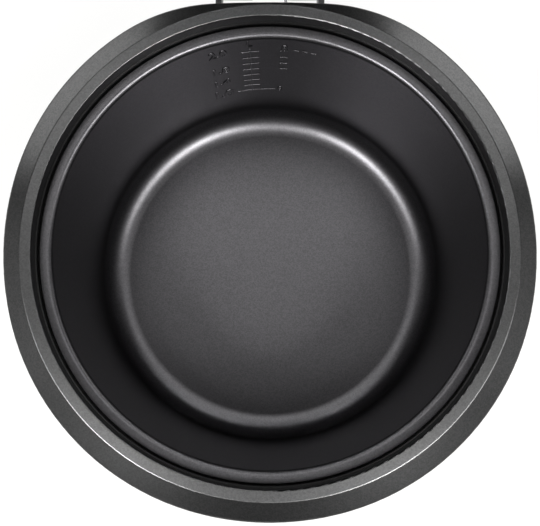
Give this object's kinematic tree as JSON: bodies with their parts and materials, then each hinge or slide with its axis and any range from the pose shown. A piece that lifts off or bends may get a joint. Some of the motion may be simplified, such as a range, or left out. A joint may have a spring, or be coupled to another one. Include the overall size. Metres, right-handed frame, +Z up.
{
  "type": "rice cooker",
  "caption": "Jar-type rice cooker: round body with a flattened back, drop-in non-stick pot with a level scale, front panel with buttons, and a hinged latching lid standing open.",
  "frame": {"origin": "on the pot's axis, in the plane the feet stand on", "axes": "+Z up, the control panel faces -Y, the lid hinges at the back, +Y"},
  "size_m": [0.2524, 0.3508, 0.4242],
  "materials": {
    "metallic_plastic": "satin with a fine metallic fleck",
    "pot_coating": "dark non-stick coating with fine flecks on aluminium",
    "black_plastic": "fine matte grain",
    "gloss_black": "polished",
    "button_plastic": "satin",
    "foot_rubber": "matte",
    "seal_rubber": "translucent grey silicone, satin",
    "heater_rubber": "silicone band, satin",
    "steel": "drawn sheet, satin",
    "screw_steel": "bright zinc plate",
    "cast_aluminium": "turned face, satin",
    "plate_aluminium": "anodised, satin",
    "pin_metal": "nickel plate, polished",
    "board_laminate": "solder-masked laminate",
    "display_glass": "dark display under a clear front",
    "window_glass": "tinted, polished",
    "lens_glass": "amber, polished"
  },
  "bodies": {
    "cooker": {"upper_frame": "metallic_plastic", "outer_casing": "metallic_plastic", "base_pan": "black_plastic", "foot_back_right": "foot_rubber", "foot_back_left": "foot_rubber", "foot_front_left": "foot_rubber", "foot_front_right": "foot_rubber", "inner_well": "steel", "heating_plate": "cast_aluminium", "heater_element": "steel", "plate_screws": "screw_steel", "chassis_screws": "screw_steel", "sensor_guide": "black_plastic", "sensor_spring": "screw_steel", "thermal_fuse": "pin_metal", "fuse_clip": "steel", "side_heater": "heater_rubber", "inlet_socket": "black_plastic", "inlet_pins": "pin_metal", "power_board": "board_laminate", "control_board": "board_laminate", "tact_switches": "black_plastic", "lcd_module": "display_glass", "control_panel": "gloss_black", "display_window": "window_glass", "indicator_lenses": "lens_glass", "hinge_pin": "steel", "lid_spring": "screw_steel"},
    "pot": {"inner_pot": "pot_coating"},
    "sensor": {"sensor_cap": "plate_aluminium"},
    "lid": {"lid_shell": "metallic_plastic", "lid_liner": "black_plastic", "lid_gasket": "seal_rubber", "lid_sensor": "screw_steel", "lid_screws": "screw_steel", "vent_tube": "black_plastic", "latch_pin": "steel", "latch_spring": "screw_steel"},
    "inner_lid": {"lid_plate": "plate_aluminium", "plate_grommet": "seal_rubber"},
    "vent_cap": {"steam_cap": "gloss_black"},
    "latch": {"latch_lever": "metallic_plastic"},
    "menu_key": {"menu_button": "button_plastic"},
    "hour_key": {"hour_button": "button_plastic"},
    "minute_key": {"minute_button": "button_plastic"},
    "cancel_key": {"cancel_button": "button_plastic"},
    "start_key": {"start_button": "button_plastic"}
  },
  "joints": [
    {"name": "lid_hinge", "type": "hinge", "parent": "cooker", "child": "lid", "pos_m": [0, 0.135, 0.16], "axis": [-1, 0, 0], "range_deg": [-97, 0], "stiffness_Nm_per_rad": 0.6, "springref_deg": 17.19, "deforming": ["lid_spring"]},
    {"name": "pot_lift", "type": "slide", "parent": "cooker", "child": "pot", "axis": [0, 0, 1], "range_m": [0, 0.14]},
    {"name": "sensor_plunge", "type": "slide", "parent": "cooker", "child": "sensor", "axis": [0, 0, 1], "range_m": [-0.003, 0], "stiffness_N_per_m": 300, "springref_m": 0.002, "deforming": ["sensor_spring"]},
    {"name": "latch_pivot", "type": "hinge", "parent": "lid", "child": "latch", "pos_m": [0, 0.19381, 0.40922], "axis": [1, 0, 0], "range_deg": [-8, 0], "stiffness_Nm_per_rad": 0.6, "springref_deg": 5.73, "deforming": ["latch_spring"]},
    {"name": "steam_cap_pull", "type": "slide", "parent": "lid", "child": "vent_cap", "axis": [0, 0.9925, -0.1219], "range_m": [0, 0.03]},
    {"name": "inner_lid_pull", "type": "slide", "parent": "lid", "child": "inner_lid", "axis": [0, 0.9925, -0.1219], "range_m": [-0.06, 0]},
    {"name": "menu_press", "type": "slide", "parent": "cooker", "child": "menu_key", "axis": [0, -1, 0], "range_m": [-0.0012, 0], "stiffness_N_per_m": 800},
    {"name": "hour_press", "type": "slide", "parent": "cooker", "child": "hour_key", "axis": [0, -1, 0], "range_m": [-0.0012, 0], "stiffness_N_per_m": 800},
    {"name": "minute_press", "type": "slide", "parent": "cooker", "child": "minute_key", "axis": [0, -1, 0], "range_m": [-0.0012, 0], "stiffness_N_per_m": 800},
    {"name": "cancel_press", "type": "slide", "parent": "cooker", "child": "cancel_key", "axis": [0, -1, 0], "range_m": [-0.0012, 0], "stiffness_N_per_m": 800},
    {"name": "start_press", "type": "slide", "parent": "cooker", "child": "start_key", "axis": [0, -1, 0], "range_m": [-0.0012, 0], "stiffness_N_per_m": 800}
  ]
}
